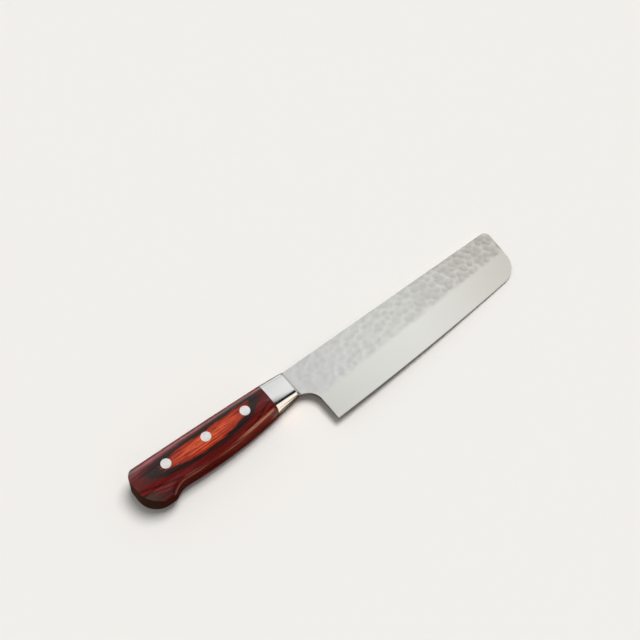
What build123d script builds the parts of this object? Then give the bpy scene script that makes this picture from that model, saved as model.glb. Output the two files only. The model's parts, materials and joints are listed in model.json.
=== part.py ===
from build123d import *
import math
import os

# Nakiri knife, lying on its left side with the edge towards -Y and the tip towards +X.
# Outlines are drawn from the point where the bolster's front meets the blade's spine:
# x runs to the tip, y to the spine, and z is counted from the blade's middle plane.

# Blade sizes
edge_length = 160.0  # heel corner to the foremost point
heel_depth = 44.5  # spine line to the heel corner
edge_climb = 9.4  # how far the edge rises from the heel to the front corner
edge_belly = 1.3  # how far the edge bulges below its straight chord
front_lean = 3.6  # how far the front leans back on its way to the edge
spine_corner_radius = 4.0
front_radius = 15.3
choil_radius = 10.4  # the finger hollow between the bolster and the heel
core_thickness = 0.6  # hard steel in the middle
cladding_thickness = 0.7  # layered soft steel on each side
edge_thickness = 0.2
bevel_width = 18.0  # smooth ground band above the edge

# Hammer mark sizes
mark_diameter = 5.8
mark_depth = 0.12
mark_pitch = 6.9
mark_margin = 0.5  # plain steel left round the hammered field
mark_shift_share = 0.04  # how far a mark strays from its row, of the pitch
mark_size_share = 0.06  # how much the marks differ, of their diameter

# Bolster sizes
bolster_length = 16.0
bolster_front_thickness = 9.0
nose_length = 2.2  # slope from the bolster's front down to the blade
nose_lip = 0.5  # what is left of the slope's height at its end

# Handle sizes
handle_length = 95.9  # from the bolster's back to the butt
handle_thickness = 17.0  # at its fullest, by the middle rivet
handle_front_thickness = 15.9  # at the bolster's back
side_crown = 1.2  # how far the side falls away at crown_reach from its crest
crown_reach = 11.0
crest_depth = 8.6  # the side's crest below the spine line
grip_corner = 4.4  # rounding between the side and the spine or belly
grip_front_height = 18.2  # height of the bolster at its front
spine_rise = 3.7  # how far the handle's back climbs to the butt
bolster_fall = 1.9  # how far the bolster's belly falls on its way back to the wood
belly_fall = 3.6  # how far the belly falls from the bolster's front to the pommel's valley
belly_swell = 2.3  # how far the wood's belly swells below a straight line to the valley
valley_radius = 14.0
pommel_width = 17.7
pommel_radius = 16.0
hook_drop = 4.1  # how far the pommel hangs below the valley
hook_run = 5.7
hook_radius = 5.0
butt_corner_radius = 8.5
fillet_wall_share = 0.95  # most that a rounding takes of the wall it lies on
tang_front_depth = 14.5
tang_butt_depth = 11.6

# Rivet sizes
rivet_count = 3
rivet_pitch = 28.1
rivet_first = 32.8  # bolster front to the first rivet
rivet_front_depth = 9.0
rivet_climb = 0.65  # how far each rivet sits above the one before it
rivet_head_diameter = 6.35
rivet_head_height = 2.6
rivet_shank_diameter = 3.5
rivet_tube_diameter = 4.8
rivet_end_gap = 0.5  # between the shank's end and the bottom of its tube
rivet_fit = 0.03  # radial, round heads and tubes
shank_fit = 0.02  # radial, between shank and tube
tang_hole_fit = 0.1  # radial, between tube and tang

# One overrun serves every cut
overrun = 2.0

# Heights above the middle plane
core_height = core_thickness / 2
face_height = core_height + cladding_thickness
edge_height = edge_thickness / 2
crest_height = handle_thickness / 2
front_crest_height = handle_front_thickness / 2

# Outline points worked out from the sizes
joint_x = -bolster_length
butt_x = joint_x - handle_length
stock_x = butt_x - hook_radius - overrun  # the handle is shaped a little long, then cut at its butt
front_depth = heel_depth - edge_climb
lean_angle = math.atan(front_lean / front_depth)
corner_run = spine_corner_radius / math.tan((math.pi / 2 - lean_angle) / 2)
spine_end_x = choil_radius + edge_length + corner_run - spine_corner_radius
heel = (choil_radius, -heel_depth)
choil_end = (choil_radius, -(grip_front_height + choil_radius))
front_corner = (spine_end_x - front_lean, -front_depth)
spine_corner = (spine_end_x, 0)
grip_front_belly = (0, -grip_front_height)
joint_belly = (joint_x, -(grip_front_height + bolster_fall))
valley_depth = grip_front_height + belly_fall
pommel_depth = valley_depth + hook_drop
valley = (butt_x + pommel_width + hook_run, -valley_depth)
hook = (butt_x + pommel_width, -pommel_depth)
pommel_corner = (butt_x, -pommel_depth)
butt_corner = (butt_x, spine_rise)
stock_corner = (stock_x, -pommel_depth)
stock_back = (stock_x, spine_rise * stock_x / butt_x)
crown_radius = (crown_reach**2 + side_crown**2) / (2 * side_crown)
crest_x = -(rivet_first + (rivet_count - 1) / 2 * rivet_pitch)
bow_reach = joint_x - crest_x
bow_rise = (handle_thickness - handle_front_thickness) / 2
bow_radius = (bow_reach**2 + bow_rise**2) / (2 * bow_rise)
side_reach = max(crest_x - stock_x, bow_reach) + overrun
rivet_seat_height = crest_height - bow_rise - rivet_head_height
rivet_places = [
    (-(rivet_first + i * rivet_pitch), i * rivet_climb - rivet_front_depth)
    for i in range(rivet_count)
]


def crown_drop(y):
    """How far the handle's side has fallen from its crest at the height y."""
    return crown_radius - math.sqrt(crown_radius**2 - (y + crest_depth) ** 2)


def spine_y(x):
    """Height of the handle's back at x."""
    return spine_rise * x / butt_x


# Roundings of the handle, limited by their walls
hook_turn = math.atan2(hook_drop, hook_run)
belly_run = joint_x - valley[0]
belly_turn = math.atan2(belly_fall - bolster_fall, belly_run)
swell_turn = 2 * math.atan(2 * belly_swell / math.hypot(belly_run, belly_fall - bolster_fall))
valley_turn = hook_turn - belly_turn + swell_turn
hook_tangent = hook_radius * math.tan(hook_turn / 2)
valley_wall = math.hypot(hook_run, hook_drop) - hook_tangent
valley_limit = fillet_wall_share * valley_wall / math.tan(valley_turn / 2)
valley_rounding = min(valley_radius, valley_limit)
pommel_rounding = min(pommel_radius, fillet_wall_share * (pommel_width - hook_tangent))
butt_drop = (crest_x - stock_x) ** 2 / (2 * bow_radius)
rim_wall = crest_height - butt_drop - crown_drop(-pommel_depth)
grip_rounding = min(grip_corner, fillet_wall_share * min(rim_wall, hook_radius))

# Outline of the blade in front of the bolster
with BuildSketch() as blade_outline:
    with BuildLine():
        Line((0, 0), grip_front_belly)
        JernArc(grip_front_belly, (1, 0), choil_radius, -90)
        Line(choil_end, heel)
        SagittaArc(heel, front_corner, -edge_belly)
        Line(front_corner, spine_corner)
        Line(spine_corner, (0, 0))
    make_face()
    fillet(blade_outline.vertices().sort_by_distance(front_corner)[0], front_radius)
    fillet(blade_outline.vertices().sort_by_distance(spine_corner)[0], spine_corner_radius)

# Outline of the bolster and the handle together, run on in straight lines past the butt.
# The bolster's belly is straight, and the wood's belly swells to fill the palm.
with BuildSketch() as stock_outline:
    with BuildLine():
        Polyline((0, 0), grip_front_belly, joint_belly)
        SagittaArc(joint_belly, valley, belly_swell)
        Polyline(valley, hook, stock_corner, stock_back, (0, 0))
    make_face()
    for corner, radius in (
        (valley, valley_rounding),
        (hook, hook_radius),
        (stock_corner, hook_radius),
        (stock_back, hook_radius),
    ):
        fillet(stock_outline.vertices().sort_by_distance(corner)[0], radius)

# The finished outline, cut round at the butt
with BuildSketch() as butt_cut:
    with BuildLine():
        Polyline(
            (stock_x - overrun, spine_rise + overrun),
            (stock_x - overrun, -pommel_depth - overrun),
            (butt_x, -pommel_depth - overrun),
            (butt_x, spine_rise + overrun),
            close=True,
        )
    make_face()
with BuildSketch() as grip_outline:
    add(stock_outline.sketch)
    add(butt_cut.sketch, mode=Mode.SUBTRACT)
    for corner, radius in (
        (pommel_corner, pommel_rounding),
        (butt_corner, butt_corner_radius),
    ):
        fillet(grip_outline.vertices().sort_by_distance(corner)[0], radius)

# Outline of the tang: full height in the bolster, then a bar along the handle's back
with BuildSketch() as tang_outline:
    with BuildLine():
        Polyline(
            (0, spine_rise),
            (0, -pommel_depth),
            (joint_x, -pommel_depth),
            (joint_x, -tang_front_depth),
            (butt_x, -tang_butt_depth),
            (butt_x, spine_rise),
            close=True,
        )
    make_face()
    add(grip_outline.sketch, mode=Mode.INTERSECT)

# The middle plane stands so that the origin is under the centre of the whole knife
grip_box = grip_outline.sketch.bounding_box()
blade_box = blade_outline.sketch.bounding_box()
middle = Plane(
    (
        -(grip_box.min.X + blade_box.max.X) / 2,
        -(blade_box.min.Y + grip_box.max.Y) / 2,
        crest_height,
    )
)


def cross_plane(x, y=0, angle=0):
    """Plane square to the knife at (x, y): its x is the knife's y, its y is height."""
    along = Vector(math.cos(angle), math.sin(angle), 0)
    across = Vector(-math.sin(angle), math.cos(angle), 0)
    return Plane(middle.from_local_coords((x, y, 0)), x_dir=across, z_dir=along)


# The bevel is a flat grind: a wedge taken off along the edge's chord
chord_angle = math.atan2(front_corner[1] - heel[1], front_corner[0] - heel[0])
bevel_slope = (face_height - edge_height) / (bevel_width + edge_belly)
bevel_end = -(edge_belly + overrun)
bevel_end_height = face_height - bevel_slope * (bevel_width - bevel_end)
with BuildPart() as bevel_wedge:
    with BuildSketch(cross_plane(*heel, chord_angle)):
        with BuildLine():
            Polyline(
                (bevel_width, face_height),
                (bevel_end, bevel_end_height),
                (bevel_end, face_height + overrun),
                (bevel_width, face_height + overrun),
                close=True,
            )
        make_face()
    extrude(amount=edge_length + overrun, both=True)


def shoulder_y(x):
    """Height of the line where the bevel starts, at x."""
    return (
        heel[1] + (x - heel[0]) * math.tan(chord_angle) + bevel_width / math.cos(chord_angle)
    )


def mark_places(side):
    """Centres and radii of the hammer marks on one side, in rows along the spine.

    Waves of no common length shift and size the marks, so that no two rows look alike.
    """
    row_pitch = mark_pitch * math.sqrt(3) / 2
    rows = math.ceil((heel_depth - bevel_width) / row_pitch)
    columns = math.ceil((edge_length + choil_radius) / mark_pitch)
    places = []
    for row in range(rows):
        for column in range(columns):
            wave = row * math.e + column * math.pi + side
            radius = mark_diameter / 2 * (1 + mark_size_share * math.sin(2 * wave))
            reach = radius + mark_margin
            x = nose_length + reach + (column + row % 2 / 2) * mark_pitch
            x += mark_pitch * mark_shift_share * math.sin(wave)
            y = -reach - row * row_pitch
            y += mark_pitch * mark_shift_share * (math.cos(3 * wave) - 1)
            front = spine_end_x + y * math.tan(lean_angle)
            choil_distance = math.hypot(x, y + grip_front_height + choil_radius)
            if y - reach < shoulder_y(x):
                continue
            if x + reach > front:
                continue
            if choil_distance < choil_radius + reach:
                continue
            places.append((x, y, radius))
    return places


def mark_cutter(radius):
    """A shallow round lens, point down, that presses one hammer mark."""
    ball_radius = (radius**2 + mark_depth**2) / (2 * mark_depth)
    with BuildPart() as cutter:
        with BuildSketch(Plane.XZ):
            with BuildLine():
                Polyline((0, -mark_depth), (0, mark_depth), (radius, mark_depth), (radius, 0))
                RadiusArc((radius, 0), (0, -mark_depth), ball_radius)
            make_face()
        revolve(axis=Axis.Z)
    return cutter.part


def make_cladding(side):
    """The outer layer of one side; side only changes where the hammer marks fall."""
    with BuildPart() as cladding:
        with BuildSketch(middle.offset(core_height)):
            add(blade_outline.sketch)
            add(tang_outline.sketch)
        extrude(amount=cladding_thickness)
        add(bevel_wedge.part, mode=Mode.SUBTRACT)
        with BuildSketch(middle):
            with Locations(*rivet_places):
                Circle(rivet_tube_diameter / 2 + tang_hole_fit)
        extrude(amount=face_height, mode=Mode.SUBTRACT)
        for x, y, radius in mark_places(side):
            with Locations(middle.location * Location((x, y, face_height))):
                add(mark_cutter(radius), mode=Mode.SUBTRACT)
    return cladding.part


# Core: the hard middle layer, bare along the edge, with the tang behind it
with BuildPart() as blade_core:
    with BuildSketch(middle):
        add(blade_outline.sketch)
        add(tang_outline.sketch)
    extrude(amount=core_height, both=True)
    add(bevel_wedge.part, mode=Mode.SUBTRACT)
    mirror(bevel_wedge.part, about=middle, mode=Mode.SUBTRACT)
    with BuildSketch(middle):
        with Locations(*rivet_places):
            Circle(rivet_tube_diameter / 2 + tang_hole_fit)
    extrude(amount=core_height, both=True, mode=Mode.SUBTRACT)

# Cladding: soft layered steel on both sides, hammered above the bevel
with BuildPart() as cladding_right:
    add(make_cladding(1))
with BuildPart() as cladding_left:
    mirror(make_cladding(2), about=middle)


def cheek_section(top, bottom, crest):
    """Section of a bolster cheek on the blade's face; its rounding flattens with its crest."""
    full = front_crest_height - face_height
    top_drop = side_crown * ((top + crest_depth) / crown_reach) ** 2
    bottom_drop = side_crown * ((bottom + crest_depth) / crown_reach) ** 2
    top_shoulder = (top, full - top_drop)
    bottom_shoulder = (bottom, full - bottom_drop)
    with BuildSketch() as section:
        with BuildLine():
            Polyline(bottom_shoulder, (bottom, 0), (top, 0), top_shoulder)
            ThreePointArc(top_shoulder, (-crest_depth, full), bottom_shoulder)
        make_face()
        for shoulder in (top_shoulder, bottom_shoulder):
            fillet(section.vertices().sort_by_distance(shoulder)[0], grip_rounding)
        scale(by=(1, (crest - face_height) / full, 1))
    return Pos(0, face_height) * section.sketch


# Bolster: two cheeks, flush with the wood behind, tapered, with a sloping nose in front
back_section = cheek_section(spine_y(joint_x), joint_belly[1], front_crest_height)
front_section = cheek_section(0, -grip_front_height, bolster_front_thickness / 2)
nose_section = cheek_section(0, -grip_front_height, face_height + nose_lip)
with BuildPart() as bolster_right:
    with BuildSketch(cross_plane(joint_x)):
        add(back_section)
    with BuildSketch(cross_plane(0)):
        add(front_section)
    with BuildSketch(cross_plane(nose_length)):
        add(nose_section)
    loft(ruled=True)
with BuildPart() as bolster_left:
    mirror(bolster_right.part, about=middle)

# Crown of the handle's side: an arc across the handle, swung along a long bow
bow_angle = math.degrees(math.asin(side_reach / (bow_radius - crest_height)))
crown_half = pommel_depth + overrun - crest_depth
with BuildPart() as side_barrel:
    with BuildSketch(cross_plane(crest_x, -crest_depth)):
        with BuildLine():
            shoulder_height = crest_height - crown_drop(crown_half - crest_depth)
            Polyline(
                (crown_half, shoulder_height),
                (crown_half, 0),
                (-crown_half, 0),
                (-crown_half, shoulder_height),
            )
            ThreePointArc(
                (-crown_half, shoulder_height), (0, crest_height), (crown_half, shoulder_height)
            )
        make_face()
    bow_axis = Axis(middle.from_local_coords((crest_x, 0, crest_height - bow_radius)), (0, 1, 0))
    revolve(axis=bow_axis, revolution_arc=bow_angle)
    mirror(about=cross_plane(crest_x))

# Handle block: one piece of laminated wood, slotted from the back for the tang. Its long edges
# are rounded over before the butt is cut, so the butt keeps a crisp edge.
with BuildPart() as handle_block:
    with BuildSketch(middle):
        add(stock_outline.sketch)
        with Locations((joint_x, -crest_depth)):
            Rectangle(
                bolster_length,
                2 * pommel_depth,
                align=(Align.MIN, Align.CENTER),
                mode=Mode.SUBTRACT,
            )
    extrude(amount=crest_height)
    add(side_barrel.part, mode=Mode.INTERSECT)
    joint_face = handle_block.faces().sort_by(Axis.X)[-1]
    side_face = handle_block.faces().sort_by(Axis.Z)[-1]
    rim = side_face.edges() - joint_face.edges()
    fillet(rim, grip_rounding)
    with BuildSketch(middle):
        add(grip_outline.sketch)
    extrude(amount=crest_height, mode=Mode.INTERSECT)
    mirror(about=middle)
    with BuildSketch(middle):
        add(tang_outline.sketch)
    extrude(amount=face_height, both=True, mode=Mode.SUBTRACT)
    with BuildSketch(middle):
        with Locations(*rivet_places):
            Circle(rivet_tube_diameter / 2 + rivet_fit)
    extrude(amount=crest_height + overrun, both=True, mode=Mode.SUBTRACT)
    for side in (1, -1):
        with BuildSketch(middle.offset(side * rivet_seat_height)):
            with Locations(*rivet_places):
                Circle(rivet_head_diameter / 2 + rivet_fit)
        extrude(amount=side * (rivet_head_height + overrun), mode=Mode.SUBTRACT)

# Rivets: a bolt from the right in a tubular socket from the left, ground flush with the wood
with BuildPart() as rivet_bolts:
    with BuildSketch(middle.offset(rivet_seat_height)):
        with Locations(*rivet_places):
            Circle(rivet_head_diameter / 2)
    extrude(amount=crest_height - rivet_seat_height)
    add(side_barrel.part, mode=Mode.INTERSECT)
    with BuildSketch(middle.offset(rivet_seat_height)):
        with Locations(*rivet_places):
            Circle(rivet_shank_diameter / 2)
    extrude(amount=-(2 * rivet_seat_height - rivet_end_gap))
with BuildPart() as left_heads:
    with BuildSketch(middle.offset(rivet_seat_height)):
        with Locations(*rivet_places):
            Circle(rivet_head_diameter / 2)
    extrude(amount=crest_height - rivet_seat_height)
    add(side_barrel.part, mode=Mode.INTERSECT)
with BuildPart() as rivet_sockets:
    mirror(left_heads.part, about=middle)
    with BuildSketch(middle.offset(-rivet_seat_height)):
        with Locations(*rivet_places):
            Circle(rivet_tube_diameter / 2)
            Circle(rivet_shank_diameter / 2 + shank_fit, mode=Mode.SUBTRACT)
    extrude(amount=2 * rivet_seat_height)

# Each piece goes to its own file
os.makedirs("parts", exist_ok=True)
pieces = {
    "blade_core": blade_core,
    "cladding_right": cladding_right,
    "cladding_left": cladding_left,
    "bolster_right": bolster_right,
    "bolster_left": bolster_left,
    "handle_block": handle_block,
    "rivet_bolts": rivet_bolts,
    "rivet_sockets": rivet_sockets,
}
for name, piece in pieces.items():
    piece.part.label = name
    export_step(piece.part, f"parts/{name}.step")
    print(name, "volume", round(piece.part.volume, 1))
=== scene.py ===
# %% [markdown]
# A hammered vegetable knife.
# The knife has a laminated steel blade with hammer marks above a smooth ground bevel, a polished
# steel bolster, and a riveted handle of resin-filled veneers. The model brings every piece at its
# real size. This lesson gives the pieces their surfaces, and lays the knife on a pale table.

# %% Load the model as a fixed frame
import json
import math
import random

import bmesh
import bpy
import numpy as np
from mathutils import Matrix, Vector


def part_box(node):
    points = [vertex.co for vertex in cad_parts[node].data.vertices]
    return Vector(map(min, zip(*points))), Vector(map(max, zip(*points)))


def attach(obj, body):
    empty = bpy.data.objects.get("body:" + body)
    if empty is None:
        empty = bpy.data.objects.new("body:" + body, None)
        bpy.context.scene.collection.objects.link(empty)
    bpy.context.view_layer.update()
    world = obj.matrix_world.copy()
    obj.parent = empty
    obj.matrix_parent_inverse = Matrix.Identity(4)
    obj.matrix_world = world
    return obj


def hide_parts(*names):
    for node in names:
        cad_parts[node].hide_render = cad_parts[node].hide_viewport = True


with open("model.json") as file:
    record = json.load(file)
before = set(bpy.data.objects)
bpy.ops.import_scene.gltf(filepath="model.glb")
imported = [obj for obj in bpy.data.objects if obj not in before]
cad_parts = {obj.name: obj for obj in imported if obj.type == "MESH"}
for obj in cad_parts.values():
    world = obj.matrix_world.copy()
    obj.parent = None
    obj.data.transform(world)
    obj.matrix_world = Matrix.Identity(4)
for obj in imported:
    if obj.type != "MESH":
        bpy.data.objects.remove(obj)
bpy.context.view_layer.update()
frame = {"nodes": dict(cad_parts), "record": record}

print("nodes:", ", ".join(sorted(frame["nodes"])))

# %% [markdown]
# The main sizes are read off the model, so that the surfaces keep to it. The blade's middle plane
# is half way up the core. The bevel's plane is in the record, because it is the face that lies
# against a magnetic rack.

# %% Measure the knife
mm = 0.001
core_low, core_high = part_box("blade_core")
layer_low, layer_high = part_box("cladding_right")
handle_low, handle_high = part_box("handle_block")
nose_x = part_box("bolster_right")[1].x
middle = (core_low.z + core_high.z) / 2
core_half = layer_low.z - middle
face_half = layer_high.z - middle
core_mesh = frame["nodes"]["blade_core"].data
spine_y = max(v.co.y for v in core_mesh.vertices if v.co.x > nose_x)
tip_x = core_high.x
rack_face = frame["record"]["mounts"][0]
bevel_point = Vector(rack_face["pos_m"])
bevel_normal = Vector(rack_face["axis"])
bevel_slope = math.hypot(bevel_normal.x, bevel_normal.y) / bevel_normal.z
print("blade thickness in mm:", round(2 * face_half / mm, 2))
print("bevel angle in degrees:", round(math.degrees(math.atan(bevel_slope)), 2))


def ground_away(x, y):
    """How far the bevel's plane lies below the face at (x, y); less than 0 above the bevel."""
    plane = bevel_point.z - (
        bevel_normal.x * (x - bevel_point.x) + bevel_normal.y * (y - bevel_point.y)
    ) / bevel_normal.z
    return middle + face_half - plane


# %% [markdown]
# The cutting edge bows up a little towards the tip. In the core's mesh it is a row of narrow faces
# that look away from the spine. A parabola through their corners gives the edge's line, which the
# steels need later. The faces of the tip's rounded corner are left out of it.

# %% Find the cutting edge
edge_rise = 9 * mm
tip_corner = 30 * mm
away_from_spine = -0.99
edge_faces = [
    face
    for face in core_mesh.polygons
    if face.normal.y < away_from_spine
    and face.center.y < core_low.y + edge_rise
    and face.center.x < tip_x - tip_corner
]
edge_points = [core_mesh.vertices[i].co for face in edge_faces for i in face.vertices]
edge_curve = np.polyfit([v.x for v in edge_points], [v.y for v in edge_points], 2)
print("points on the cutting edge:", len(edge_points))

# %% [markdown]
# The knife rests on the left side of its bolster and on the blade's tip, so it leans tip down by
# about two degrees. A model that stands in a shared frame isn't moved, so the table leans instead.
# The camera looks at the knife from above its edge side, through a long lens.

# %% Camera
bolster_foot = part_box("bolster_left")[0].z
blade_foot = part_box("cladding_left")[0].z
tip_down = math.atan2(blade_foot - bolster_foot, tip_x - handle_high.x)
camera_turn = math.radians(39.2)
camera_elevation = math.radians(61)
camera_distance = 815.6 * mm
aim = Vector((17.65, 38.5, 1.8)) * mm
table_axes = Matrix.Rotation(-tip_down, 4, "Y") @ Matrix.Rotation(-camera_turn, 4, "Z")
offset = Vector((0, -math.cos(camera_elevation), math.sin(camera_elevation))) * camera_distance
camera = bpy.data.objects.new("camera", bpy.data.cameras.new("camera"))
camera.data.sensor_width = 36
camera.data.lens = 73.1
camera.data.clip_start = 0.01
camera.matrix_world = (
    Matrix.Translation(aim)
    @ table_axes
    @ Matrix.Translation(offset)
    @ Matrix.Rotation(math.pi / 2 - camera_elevation, 4, "X")
)
bpy.context.scene.collection.objects.link(camera)
bpy.context.scene.camera = camera
print("tip down by degrees:", round(math.degrees(tip_down), 2))

# %% [markdown]
# Shader maths is easier to read as sums than as a web of nodes. A Reading holds one output of a
# node, and a sum on readings adds the Math nodes that work it out. A Web is a tree of nodes, and
# its node method adds any other node: settings go in first, then the values of the inputs. A
# Finish is the web of one material.


# %% A small language for materials
class Reading:
    """One output of a shader node."""

    def __init__(self, finish, socket):
        self.finish = finish
        self.socket = socket

    def math(self, operation, *values):
        places = ("Value", "Value_001", "Value_002")
        return self.finish.node("Math", {"operation": operation}, dict(zip(places, values)))

    def __add__(self, other):
        return self.math("ADD", self, other)

    def __radd__(self, other):
        return self.math("ADD", other, self)

    def __sub__(self, other):
        return self.math("SUBTRACT", self, other)

    def __rsub__(self, other):
        return self.math("SUBTRACT", other, self)

    def __mul__(self, other):
        return self.math("MULTIPLY", self, other)

    def __rmul__(self, other):
        return self.math("MULTIPLY", other, self)

    def __truediv__(self, other):
        return self.math("DIVIDE", self, other)

    def __abs__(self):
        return self.math("ABSOLUTE", self)

    def band(self, low, high):
        """0 below low, 1 above high and a soft step between them."""
        sockets = {"Value": self, "From Min": low, "From Max": high}
        return self.finish.node("MapRange", {"interpolation_type": "SMOOTHSTEP"}, sockets)


class Web:
    """One tree of shader nodes."""

    def __init__(self, tree):
        self.tree = tree

    def node(self, kind, settings=None, sockets=None, output=0):
        """Adds a shader node: its settings first, then the values or links of its inputs."""
        made = self.tree.nodes.new("ShaderNode" + kind)
        for name, value in (settings or {}).items():
            if name == "stops":
                self.fill_ramp(made.color_ramp, value)
            else:
                setattr(made, name, value)
        inputs = {socket.identifier: socket for socket in made.inputs}
        for name, value in (sockets or {}).items():
            self.feed(inputs[name], value)
        return Reading(self, made.outputs[output])

    def fill_ramp(self, ramp, stops):
        while len(ramp.elements) < len(stops):
            ramp.elements.new(1)
        for element, (place, colour) in zip(ramp.elements, stops):
            element.position = place
            element.color = (*colour, 1)

    def feed(self, socket, value):
        if isinstance(value, Reading):
            self.tree.links.new(value.socket, socket)
        elif isinstance(value, tuple) and socket.type == "RGBA":
            socket.default_value = (*value, 1)
        else:
            socket.default_value = value

    def axes(self, vector):
        """The three parts of a vector."""
        split = self.node("SeparateXYZ", None, {"Vector": vector}).socket.node
        return [Reading(self, socket) for socket in split.outputs]

    def mix(self, share, first, second, blend="MIX"):
        """A colour from first, where share is 0, to second, where it is 1."""
        sockets = {"Factor_Float": share, "A_Color": first, "B_Color": second}
        settings = {"data_type": "RGBA", "blend_type": blend}
        return self.node("Mix", settings, sockets, output=2)


class Finish(Web):
    """One material with its Principled shader."""

    def __init__(self, name):
        self.material = bpy.data.materials.new(name)
        self.material.use_nodes = True
        super().__init__(self.material.node_tree)
        self.shader = self.tree.nodes["Principled BSDF"]
        print("finish:", name)

    def shade(self, **values):
        """Sets the shader's inputs; an underscore in a name stands for a space."""
        for name, value in values.items():
            self.feed(self.shader.inputs[name.replace("_", " ")], value)

    def place(self):
        """The point on the surface, in metres in its object's own frame; a piece has the model's."""
        return self.node("TexCoord", output=3)

    def coordinates(self):
        """x, y and z of the point on the surface."""
        return self.axes(self.place())

    def noise(self, cell, detail=2.0, roughness=0.5):
        """Noise from 0 to 1 whose lumps measure about cell = (x, y, z) in metres."""
        scale = tuple(1 / size for size in cell)
        stretched = self.node(
            "VectorMath", {"operation": "MULTIPLY"}, {"Vector": self.place(), "Vector_001": scale}
        )
        sockets = {"Vector": stretched, "Scale": 1.0, "Detail": detail, "Roughness": roughness}
        return self.node("TexNoise", None, sockets)

    def bump(self, height, depth):
        """A normal that follows height, a reading from 0 to 1, depth metres deep."""
        return self.node("Bump", None, {"Height": height, "Distance": depth, "Strength": 1.0})


# %% [markdown]
# The table is a large plain sheet in the colour of warm paper. Its paint is matt, so that it
# shows only the soft shadow under the knife. Reflections don't see it: they see the cards below.

# %% Table
table_size = 12.0
table_place = (
    Matrix.Translation((handle_high.x, spine_y, bolster_foot)) @ Matrix.Rotation(-tip_down, 4, "Y")
)


def flat_sheet(name, corners, finish):
    """A flat sheet. Its corners are in mm from the bolster's back at the spine, on the table."""
    mesh = bpy.data.meshes.new(name)
    mesh.from_pydata([Vector(corner) * mm for corner in corners], [], [range(len(corners))])
    mesh.materials.append(finish.material)
    made = bpy.data.objects.new(name, mesh)
    made.matrix_world = table_place
    bpy.context.scene.collection.objects.link(made)
    print("sheet:", name)
    return made


paper = Finish("warm_paper")
paper.shade(Base_Color=(0.875, 0.866, 0.845), Roughness=0.9, Specular_IOR_Level=0.0)
reach = table_size / 2 / mm
table_corners = [(-reach, -reach, 0), (reach, -reach, 0), (reach, reach, 0), (-reach, reach, 0)]
table = flat_sheet("table", table_corners, paper)
table.visible_glossy = False

# %% [markdown]
# The knife lies in a pale room, which lights it evenly from all sides. Reflections see more of the
# room. Its ceiling is of two crossing sets of pale slats, one of which stops towards the tip: a
# flat face blurs them to one grey, but the hammer marks each show a bright and a dim side. A
# bright window on the spine side gives the handle its sheen there. A dark doorway and a dark wall
# lie on the edge side, towards the tip. They give the bolster its black band, and below it a low
# cream wall gives its highlight. All this is drawn by direction, where x points along the blade, y
# to the spine side and z up, and a band is the soft border of a wall.

# %% Room
scene = bpy.context.scene
scene.view_settings.view_transform = "Standard"
room_light = (0.34, 0.339, 0.337)
slat_frequency = 16.7
slat_contrast = 0.15
world = bpy.data.worlds.new("pale_room")
world.use_nodes = True
scene.world = world
room = Web(world.node_tree)
x, y, z = room.axes(room.node("TexCoord"))
sideways = (x * 0.95 - y * 0.12 - z * 0.28) * slat_frequency
onward = (x * 0.1 + y * 0.93 - z * 0.35 - 0.057) * slat_frequency
first_slats = sideways.math("SINE", sideways)
second_slats = onward.math("SINE", onward) * (1 - x.band(0.54, 0.62))
slats = (first_slats - second_slats) * slat_contrast + 0.5
ceiling = room.mix(slats, (0.0, 0.0, 0.0), (2.0, 1.992, 1.976))
doorway = (1 - y.band(0.06, 0.27)) * x.band(0.50, 0.60)
with_doorway = room.mix(doorway, ceiling, (0.02, 0.02, 0.02))
dusk = (1 - y.band(0.05, 0.16)) * x.band(0.10, 0.22)
dusk_grey = room.mix(x.band(0.42, 0.5), (0.10, 0.10, 0.10), (0.01, 0.01, 0.01))
with_dusk = room.mix(dusk, with_doorway, dusk_grey)
low_wall = (1 - y.band(-0.31, -0.24)) * x.band(0.52, 0.58)
with_low_wall = room.mix(low_wall, with_dusk, (1.18, 1.06, 0.94))
window = (y * 0.866 - z * 0.5).band(0.08, 0.28) * z.band(0.05, 0.3) * (1 - x.band(0.36, 0.46))
with_window = room.mix(window, with_low_wall, (4.0, 3.95, 3.9))
reflected = room.node("LightPath", output=3)
sky = world.node_tree.nodes["Background"]
room.feed(sky.inputs["Color"], room.mix(reflected, room_light, with_window))
print("room:", world.name, "with", len(world.node_tree.nodes), "nodes")

# %% [markdown]
# One large soft lamp shines from high up behind the knife and from the right, so that the shadows
# are short and fall towards the viewer. It is kept out of reflections, where the room takes its
# place. A lamp of this kind shines the same from any distance, so only its direction counts.

# %% Lamp
lamp_turn = 140
lamp_elevation = 70
lamp_distance = 1.0


def studio_place(turn, elevation, distance):
    """A place round the knife, turned from the camera's side and raised, that faces the knife."""
    turned = Matrix.Rotation(math.radians(turn), 4, "Z")
    lifted = Matrix.Rotation(math.radians(90 - elevation), 4, "X")
    out = Matrix.Translation((0, 0, distance))
    return Matrix.Translation(aim) @ table_axes @ turned @ lifted @ out


key = bpy.data.lights.new("soft_key", "SUN")
key.energy = 2.25
key.color = (1, 0.985, 0.965)
key.angle = math.radians(30)
key_lamp = bpy.data.objects.new("soft_key", key)
key_lamp.matrix_world = studio_place(lamp_turn, lamp_elevation, lamp_distance)
key_lamp.visible_glossy = False
scene.collection.objects.link(key_lamp)
print("lamp elevation in degrees:", lamp_elevation)

# %% [markdown]
# Polished steel and gloss show what stands round them, so a photographer builds their reflections
# out of cards. A card is a sheet that glows and that only reflections see. It is placed in mm from
# the bolster's back at the spine: u along the blade, v to the spine side and w up off the table.


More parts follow.
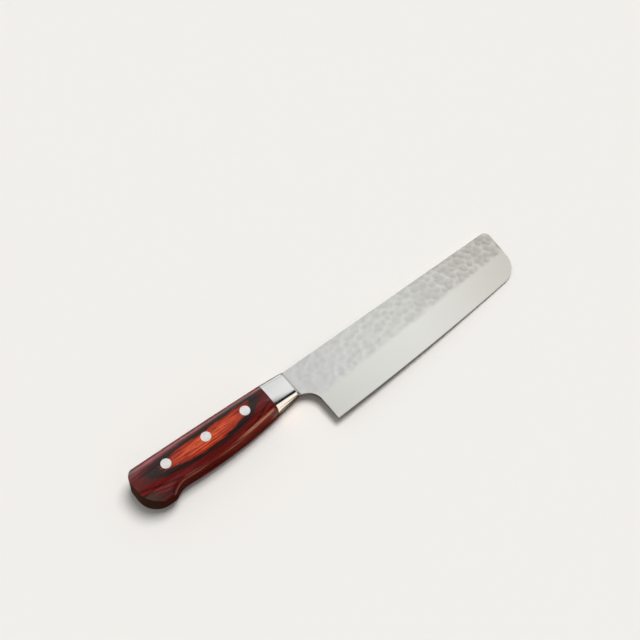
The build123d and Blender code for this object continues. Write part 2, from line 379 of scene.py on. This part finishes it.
# %% Card for a reflection
def card(name, corners, glow, finish):
    """A glowing sheet that only reflections see."""
    finish.shade(
        Base_Color=(0, 0, 0),
        Roughness=1.0,
        Specular_IOR_Level=0.0,
        Emission_Color=glow,
        Emission_Strength=1.0,
    )
    made = flat_sheet(name, corners, finish)
    made.visible_camera = False
    made.visible_diffuse = False
    made.visible_shadow = False


# %% [markdown]
# A floor lies a hair above the table. It is dark brown on the edge side and grey beyond the spine.
# A wide card hangs high over the handle and the bolster. It is pale where their flat tops mirror
# it, and dark where the sides that slope to the belly do.

# %% Floor and handle card
floor = Finish("dark_floor")
v = floor.coordinates()[1]
floor_glow = floor.mix(v.band(0.0, 8 * mm), (0.055, 0.034, 0.016), (0.35, 0.35, 0.34))
floor_corners = [(-400, -500, 0.05), (900, -500, 0.05), (900, 500, 0.05), (-400, 500, 0.05)]
card("dark_floor", floor_corners, floor_glow, floor)

overhead = Finish("handle_card")
v = overhead.coordinates()[1]
overhead_glow = overhead.mix(v.band(15 * mm, 112 * mm), (0.10, 0.10, 0.10), (0.94, 0.936, 0.925))
overhead_corners = [(-300, -5, 345), (125, -5, 345), (125, 165, 345), (-300, 165, 345)]
card("handle_card", overhead_corners, overhead_glow, overhead)

# %% [markdown]
# A small peach card, which leans over the edge side at 45 degrees, gives the bright line on the
# front of the belly. A cream card rises like a ramp beyond the edge side, for the walls below that
# line. It is cream where the bolster mirrors it and reddish where the wood does. There it fades
# towards the butt, and is bright once more where the handle's hook mirrors it. Reflections run
# aslant over the ramp, so its borders do too.

# %% Peach card
belly = Finish("belly_card")
u, v = belly.coordinates()[:2]
fade = u.band(-10 * mm, 16 * mm) * (1 - v.band(-58 * mm, -48 * mm))
belly_glow = belly.mix(fade, (0.10, 0.10, 0.10), (10.0, 5.8, 3.7))
belly_corners = [(-10, -103, 48), (44, -103, 48), (36, -47, 104), (-10, -47, 104)]
card("belly_card", belly_corners, belly_glow, belly)

# %% Cream card
slant = 0.3225
ramp_rise = 0.282
ramp_start = -26
ramp_foot = 1.4

cream = Finish("cream_card")
u, v = cream.coordinates()[:2]
across = u + v * slant
lit = across.band(-55 * mm, -18 * mm)
far = 1 - v.band(-62 * mm, -40 * mm)
hook = (1 - v.band(-66 * mm, -42 * mm)) * across.band(-96 * mm, -80 * mm)
veil = across.band(-10 * mm, -6 * mm)
wood_glow = cream.mix(far, (0.8, 0.10, 0.04), (2.0, 0.7, 0.4))
steel_glow = cream.mix(far, (1.10, 0.96, 0.82), (1.35, 1.22, 1.10))
hook_glow = cream.mix(hook, (0.01, 0.004, 0.002), (5.0, 2.8, 1.8))
cream_glow = cream.mix(veil, cream.mix(lit, hook_glow, wood_glow), steel_glow)
ramp_plan = [(-60, -26), (-4, -26), (-4, -23), (20, -23), (24, -60), (800, -400), (-200, -400)]
ramp = [(u, v, ramp_foot + (ramp_start - v) * ramp_rise) for u, v in ramp_plan]
card("cream_card", ramp, cream_glow, cream)

# %% [markdown]
# The blade's outer layers are many thin sheets of two steels, rolled together. Grinding and
# hammering cut through them at a slant, which leaves faint contour lines, as on a map: the
# depth below the face, bent by slow noise, picks the sheet. The satin grind adds fine scratches.
# The bottoms of the hollows get a painted shade, a little darker than the ridges between them,
# more so towards the tip. The greys are warmer there too.


# %% Measures on the steel
def depth_below(finish, height):
    """Depth below a surface that lies height above or below the middle plane."""
    z = finish.coordinates()[2]
    return height - abs(z - middle)


def painted_cutting_edge_mask(finish):
    """1 in a hair-fine strip along the cutting edge, which fades to the tip: painted shade."""
    x, y = finish.coordinates()[:2]
    bend, slope, start = (float(number) for number in edge_curve)
    strip = 1 - (y - (x * x * bend + x * slope + start)).band(0.15 * mm, 0.45 * mm)
    return strip * (1 - x.band(nose_x + 20 * mm, tip_x - 20 * mm) * 0.8)


def ground_share(finish):
    """0 on the hammered face and 1 on the bevel, with a soft step where the grind fades out."""
    x, y = finish.coordinates()[:2]
    rise = x * (bevel_normal.x / bevel_normal.z) + y * (bevel_normal.y / bevel_normal.z)
    start = bevel_point.x * bevel_normal.x + bevel_point.y * bevel_normal.y
    taken = middle + face_half - (bevel_point.z + start / bevel_normal.z - rise)
    return taken.band(-0.10 * mm, 0.12 * mm)


def tint_along_blade(finish, greys):
    """A grey that changes from the bolster, at 0, to the tip, at 1."""
    x = finish.coordinates()[0]
    return finish.node("ValToRGB", {"stops": greys}, {"Fac": x.band(nose_x, tip_x)})


# %% Layered steel
sheet_thickness = 0.045 * mm
# Grey of the painted shade along the cutting edge.
painted_edge_shade = (0.19, 0.185, 0.18)
painted_hollow_grey = (0.85, 0.85, 0.855)
hammered_greys = [
    (0.0, (0.575, 0.575, 0.570)),
    (0.4, (0.572, 0.578, 0.548)),
    (0.8, (0.555, 0.548, 0.515)),
    (1.0, (0.550, 0.530, 0.487)),
]
ground_greys = [
    (0.0, (0.580, 0.586, 0.556)),
    (0.5, (0.620, 0.622, 0.592)),
    (0.8, (0.600, 0.594, 0.560)),
    (1.0, (0.575, 0.556, 0.510)),
]

steel = Finish("layered_steel")
sway = steel.noise((16 * mm, 9 * mm, 9 * mm), 3.0) * (0.16 * mm)
turns = (depth_below(steel, face_half) + sway) * (2 * math.pi / sheet_thickness)
line = turns.math("SINE", turns)
scratch = steel.noise((0.12 * mm, 5 * mm, 5 * mm), 2.0)
hammered_tint = tint_along_blade(steel, hammered_greys)
lined = steel.mix(line.band(-0.6, 0.9) * 0.12, hammered_tint, (0.50, 0.50, 0.495))
# The darker bottoms of the hollows are painted shade.
painted_hollow_mask = depth_below(steel, face_half).band(0.012 * mm, 0.075 * mm)
painted_hollow_strength = steel.coordinates()[0].band(nose_x, tip_x) * 0.55 + 0.38
hammered = steel.mix(painted_hollow_mask * painted_hollow_strength, lined, painted_hollow_grey, "MULTIPLY")
ground = steel.mix(ground_share(steel), hammered, tint_along_blade(steel, ground_greys))
# The dark strip along the cutting edge is painted shade.
steel.shade(
    Base_Color=steel.mix(painted_cutting_edge_mask(steel), ground, painted_edge_shade),
    Metallic=1.0,
    Roughness=0.19 + scratch * 0.05 + line * 0.01,
    Normal=steel.bump(scratch, 0.0015 * mm),
)

# %% [markdown]
# The core is one plain hard steel. It is bare along the edge, in nearly the same grey as the
# layers beside it, with its scratches square to the edge.

# %% Steel of the core
core_steel = Finish("core_steel")
hone = core_steel.noise((0.1 * mm, 4 * mm, 4 * mm), 2.0)
bare = tint_along_blade(core_steel, ground_greys)
honed = core_steel.mix(hone * 0.06, bare, (0.9, 0.9, 0.9))
# The dark strip along the cutting edge is painted shade here too.
core_steel.shade(
    Base_Color=core_steel.mix(painted_cutting_edge_mask(core_steel), honed, painted_edge_shade),
    Metallic=1.0,
    Roughness=0.19 + hone * 0.06,
)

# %% [markdown]
# The bolster is buffed on a wheel until it is a mirror. Only its faint haze and the finest
# buffing lines, along the knife, keep it from looking like glass. The wheel rounds off its front
# and spine edges, and thin grey lines of painted shade run along them.

# %% Polished steel of the bolster
mirror_steel = Finish("polished_steel")
buff = mirror_steel.noise((6 * mm, 0.15 * mm, 0.15 * mm), 2.0)
x, y = mirror_steel.coordinates()[:2]
# Thin grey lines of painted shade along the front and spine edges.
painted_front_shade = x.band(nose_x - 0.9 * mm, nose_x - 0.5 * mm)
painted_spine_shade = y.band(spine_y - 0.8 * mm, spine_y - 0.4 * mm)
painted_rim_shade = painted_front_shade.math("MAXIMUM", painted_front_shade, painted_spine_shade)
buffed = mirror_steel.mix(buff, (0.79, 0.80, 0.785), (0.85, 0.855, 0.84))
mirror_steel.shade(
    Base_Color=mirror_steel.mix(painted_rim_shade * 0.75, buffed, (0.22, 0.22, 0.20)),
    Metallic=1.0,
    Roughness=0.07 + buff * 0.05,
)

# %% [markdown]
# The rivets are pale stainless steel, sanded flush with the wood, so they have a fine matt grain
# along the handle.

# %% Satin steel of the rivets
rivet_steel = Finish("rivet_steel")
sanding = rivet_steel.noise((1.5 * mm, 0.12 * mm, 0.12 * mm), 2.0)
rivet_steel.shade(
    Base_Color=rivet_steel.mix(sanding, (0.785, 0.775, 0.755), (0.825, 0.815, 0.795)),
    Metallic=1.0,
    Roughness=0.17 + sanding * 0.06,
)

# %% [markdown]
# The handle is a block of thin veneers, dyed and pressed together with resin. Sanding its
# crowned sides cuts through the veneers, so each colour comes out as a contour: orange on the
# crest, then black, then wine red. The colour is therefore a ramp over the depth below the crest,
# and the figure follows the real shape. The red is rosier on the spine side: a painted sheen.
#
# The side's arc across the handle is its crown, and the long arc from end to end is its bow. The
# block was sawn a hair askew, so the contours lean, bend and slide a little off the crest. To move
# them takes one term: the depth below an arc of radius R is y * y / 2R, so that taking s * y / R
# from it moves them by s. Towards both ends the orange closes, because the sheets come up there.
# Noise stretched along the grain frays it all.

# %% Veneer colours
crest = handle_high.z - middle
crest_x = (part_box("rivet_bolts")[0].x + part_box("rivet_bolts")[1].x) / 2
crest_y = spine_y - 8.6 * mm
crown_radius = 51 * mm
bow_radius = 1833 * mm
figure_slide = 0.9 * mm
figure_shift = -1.6 * mm
figure_slant = 0.02
figure_bend = 2.5
orange_depth = 0.28 * mm
black_depth = 0.66 * mm
front_rise = 0.28 * mm
back_rise = 0.14 * mm

wood = Finish("laminated_wood")
x, y = wood.coordinates()[:2]
along = x - crest_x
leaned = figure_shift + along * figure_slant + along * along * figure_bend
lean = leaned * (y - crest_y) / crown_radius
slide = along * (figure_slide / bow_radius)
waves = (wood.noise((26 * mm, 6 * mm, 6 * mm), 2.0) - 0.5) * (0.22 * mm)
splinters = (wood.noise((13 * mm, 0.55 * mm, 0.55 * mm), 3.0, 0.65) - 0.5) * (0.52 * mm)
ends = along.band(30 * mm, 42 * mm) * front_rise + (0 - along).band(30 * mm, 46 * mm) * back_rise
veneer_depth = depth_below(wood, crest) - lean - slide + ends + waves + splinters
orange = (0.66, 0.085, 0.020)
ember = (0.42, 0.035, 0.012)
char = (0.014, 0.009, 0.008)
painted_sheen_rose = (0.27, 0.050, 0.065)
wine = (0.13, 0.005, 0.005)
deep_wine = (0.09, 0.002, 0.002)
veneer_stops = [
    (0.0, orange),
    (orange_depth / crest - 0.005, ember),
    (orange_depth / crest + 0.002, char),
    (black_depth / crest - 0.010, char),
    (black_depth / crest + 0.008, wine),
    (0.16, wine),
    (0.22, deep_wine),
    (1.0, deep_wine),
]
layers = wood.node("ValToRGB", {"stops": veneer_stops}, {"Fac": veneer_depth / crest})
# The rosier red on the spine side is a painted sheen.
painted_sheen_side = (y - crest_y).band(2 * mm, 9 * mm)
past_black = veneer_depth.band(black_depth, black_depth + 0.12 * mm)
layers_with_painted_sheen = wood.mix(painted_sheen_side * past_black, layers, painted_sheen_rose)

# %% [markdown]
# Below the black veneer the block goes on in red sheets with thin dark glue lines, which show
# as lines along the belly. Each sheet has its own tone. Dark streaks and short dark pores run along
# the grain everywhere.

# %% Glue lines and pores
veneer_thickness = 0.62 * mm
phase = veneer_depth / veneer_thickness
sheet_number = phase.math("FLOOR", phase)
step = phase - sheet_number
glue = (1 - step.band(0.15, 0.5)) * veneer_depth.band(black_depth, 1.0 * mm)
tone = wood.node("TexWhiteNoise", {"noise_dimensions": "1D"}, {"W": sheet_number})
deep = veneer_depth.band(black_depth, 1.2 * mm)
sheet_tone = wood.mix(tone * deep * 0.8, layers_with_painted_sheen, (0.26, 0.014, 0.008))
glued = wood.mix(glue * 0.9, sheet_tone, (0.010, 0.001, 0.001))
pores = wood.noise((10 * mm, 0.55 * mm, 0.55 * mm), 2.0, 0.55).band(0.55, 0.62)
streaks = wood.noise((30 * mm, 0.8 * mm, 0.8 * mm), 3.0, 0.55).band(0.42, 0.60)
streaked = wood.mix(streaks * 0.75, glued, (0.50, 0.22, 0.15), "MULTIPLY")
grained = wood.mix(pores * 0.8, streaked, (0.050, 0.008, 0.005))

# %% [markdown]
# The wall under the hook is darkened with painted shade, and the butt shows brown end grain. The
# resin gives the wood a clear gloss, which is thinner in the pores and a little worn on the
# belly, where the fingers go round.

# %% Painted shade under the hook, end grain and gloss
from_butt = x - handle_low.x
depth = depth_below(wood, crest)
# Painted shade darkens the wall under the hook.
painted_hook_shade_zone = (1 - from_butt.band(18 * mm, 30 * mm)) * (crest_y - y).band(7 * mm, 12 * mm)
painted_hook_shade_mask = painted_hook_shade_zone * depth.band(1.3 * mm, 2.4 * mm)
with_painted_hook_shade = wood.mix(painted_hook_shade_mask * 0.8, grained, (0.045, 0.002, 0.002))
end_grain = (1 - from_butt.band(4 * mm, 12 * mm)) * depth.band(0.9 * mm, 1.5 * mm)
sawn = wood.mix(end_grain * 0.85, with_painted_hook_shade, (0.040, 0.016, 0.010))
along_grip = from_butt.band(32 * mm, 46 * mm) * (handle_high.x - x).band(34 * mm, 48 * mm)
worn = along_grip * (crest_y - y).band(4 * mm, 8 * mm)
wood.shade(
    Base_Color=sawn,
    Roughness=0.45,
    Specular_IOR_Level=0.05,
    Coat_Weight=0.55 - pores * 0.2 - worn * 0.33,
    Coat_Roughness=0.06,
    Normal=wood.bump(pores, -0.004 * mm),
)

# %% [markdown]
# A smith hammers the outer layers cold, one blow beside the next, and then grinds the bevel
# through the marks. Bump alone would leave the outline straight, so the marks are real hollows.
# The inner face of the layer, where it lies on the core, has the exact outline and no marks: it
# is copied, raised to a plate, cut into fine cells and pressed down where each blow fell. The
# marks are deeper towards the tip, and shallow where they run out on the bevel. Where the grind
# has taken more than the last depth, none is left.

# %% Hammer blows
blow_pitch = 4.7 * mm
blow_radius = 3.5 * mm
blow_depth = 0.085 * mm
field_depth = 27 * mm
first_row = 0.2
scatter = 0.4
shallowest = 0.25
fade_depth = 0.16 * mm
last_depth = 0.11 * mm


def hammer_blows(seed):
    """The blows, in uneven rows from the spine to the bevel: place, two radii, turn and depth."""
    chance = random.Random(seed)
    blows = []
    row_pitch = blow_pitch * math.sqrt(3) / 2
    for row in range(int(field_depth / row_pitch) + 1):
        for column in range(int((tip_x - nose_x) / blow_pitch) + 1):
            x = nose_x + (column + row % 2 / 2 + chance.uniform(-scatter, scatter)) * blow_pitch
            y = spine_y - (row + first_row + chance.uniform(-scatter, scatter)) * row_pitch
            radius = blow_radius * chance.uniform(0.8, 1.2)
            stretch = chance.uniform(0.85, 1.2)
            turn = chance.uniform(0, math.pi)
            share = (x - nose_x) / (tip_x - nose_x)
            depth = blow_depth * chance.uniform(0.6, 1.2) * (0.55 + 0.75 * share)
            depth *= min(1, max(shallowest, 1 - ground_away(x, y) / fade_depth))
            if ground_away(x, y) < last_depth and x > nose_x + radius:
                blows.append((x, y, radius * stretch, radius / stretch, turn, depth))
    return np.array(blows)


def pressed(x, y, blows):
    """How deep the overlapping hollows are at (x, y)."""
    deepest = np.zeros(len(x))
    for blow_x, blow_y, length, width, turn, depth in blows:
        along = (x - blow_x) * math.cos(turn) + (y - blow_y) * math.sin(turn)
        across = (y - blow_y) * math.cos(turn) - (x - blow_x) * math.sin(turn)
        near = (along / length) ** 2 + (across / width) ** 2
        deepest = np.maximum(deepest, depth * (1 - near))
    return deepest


def blended(first, second, blend):
    """The deeper of two depths, rounded over where they meet."""
    near = np.maximum(1 - abs(first - second) / blend, 0)
    return np.maximum(first, second) + near * near * blend / 4


# %% [markdown]
# The plate is made in a bmesh, Blender's mesh for editing, in three steps: raise it, cut it and
# press it. Points closer together than the weld become one. Where a hollow and the bevel differ
# in depth by less than the crease, the border between them is rounded over.

# %% Plate of a hammered layer
weld = 0.002 * mm
cell = 0.55 * mm


def raised_plate(node, inner, face):
    """A layer's inner face, copied to the height of its outer face and walled round."""
    work = bmesh.new()
    work.from_mesh(frame["nodes"][node].data)
    bmesh.ops.remove_doubles(work, verts=work.verts, dist=weld)
    rest = [f for f in work.faces if any(abs(v.co.z - inner) > weld for v in f.verts)]
    bmesh.ops.delete(work, geom=rest, context="FACES")
    raised = bmesh.ops.extrude_face_region(work, geom=work.faces[:])["geom"]
    for part in raised:
        if isinstance(part, bmesh.types.BMVert):
            part.co.z = face
    return work


def cut(work, parts, point, normal):
    """Cuts some parts of a mesh along a plane."""
    bmesh.ops.bisect_plane(work, geom=parts, dist=weld / 10, plane_co=point, plane_no=normal)


def cut_into_cells(work, face):
    """Cuts the blade crosswise, and the hammered part of its outer face lengthwise too."""
    for i in range(1, int((tip_x - nose_x) / cell) + 2):
        everything = work.verts[:] + work.edges[:] + work.faces[:]
        cut(work, everything, (nose_x + i * cell, 0, 0), (1, 0, 0))
    for i in range(1, int(field_depth / cell) + 1):
        top = [
            f
            for f in work.faces
            if f.calc_center_median().x > nose_x and abs(f.calc_center_median().z - face) < weld
        ]
        edges = list({e for f in top for e in f.edges})
        verts = list({v for f in top for v in f.verts})
        cut(work, verts + edges + top, (0, spine_y - i * cell, 0), (0, 1, 0))


# %% Hollows of a hammered layer
crease = 0.07 * mm


def press_hollows(work, side, seed):
    """Presses the outer face down, to the hollows and to the bevel."""
    face = middle + side * face_half
    upper = [v for v in work.verts if abs(v.co.z - face) < weld and v.co.x > nose_x - weld]
    x = np.array([v.co.x for v in upper])
    y = np.array([v.co.y for v in upper])
    taken = blended(pressed(x, y, hammer_blows(seed)), ground_away(x, y), crease)
    taken = np.minimum(taken, face_half - core_half)
    for vertex, depth in zip(upper, taken):
        vertex.co.z = face - side * depth
    bmesh.ops.remove_doubles(work, verts=work.verts, dist=weld)
    bmesh.ops.dissolve_degenerate(work, edges=work.edges, dist=weld / 10)
    bmesh.ops.recalc_face_normals(work, faces=work.faces)


# %% Build the hammered layers
sharp_angle = math.radians(30)


def hammered_layer(name, node, side, seed):
    """The outer layer of one side, with the tang, as one closed mesh."""
    face = middle + side * face_half
    work = raised_plate(node, middle + side * core_half, face)
    cut_into_cells(work, face)
    press_hollows(work, side, seed)
    mesh = bpy.data.meshes.new(name)
    work.to_mesh(mesh)
    work.free()
    mesh.polygons.foreach_set("use_smooth", [True] * len(mesh.polygons))
    mesh.set_sharp_from_angle(angle=sharp_angle)
    mesh.materials.append(steel.material)
    layer = bpy.data.objects.new(name, mesh)
    scene.collection.objects.link(layer)
    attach(layer, "root")
    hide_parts(node)
    print(name, "has", len(mesh.polygons), "faces")


hammered_layer("hammered_layer_right", "cladding_right", 1, 3)
hammered_layer("hammered_layer_left", "cladding_left", -1, 8)

# %% [markdown]
# The other pieces keep the model's own shapes. Each gets its finish in its material slots.

# %% Give the model's pieces their finishes
finishes = {
    "blade_core": core_steel,
    "bolster_right": mirror_steel,
    "bolster_left": mirror_steel,
    "handle_block": wood,
    "rivet_bolts": rivet_steel,
    "rivet_sockets": rivet_steel,
}
for node, finish in finishes.items():
    piece = frame["nodes"][node]
    for slot in piece.material_slots:
        slot.material = finish.material
    print(node, "gets", finish.material.name)
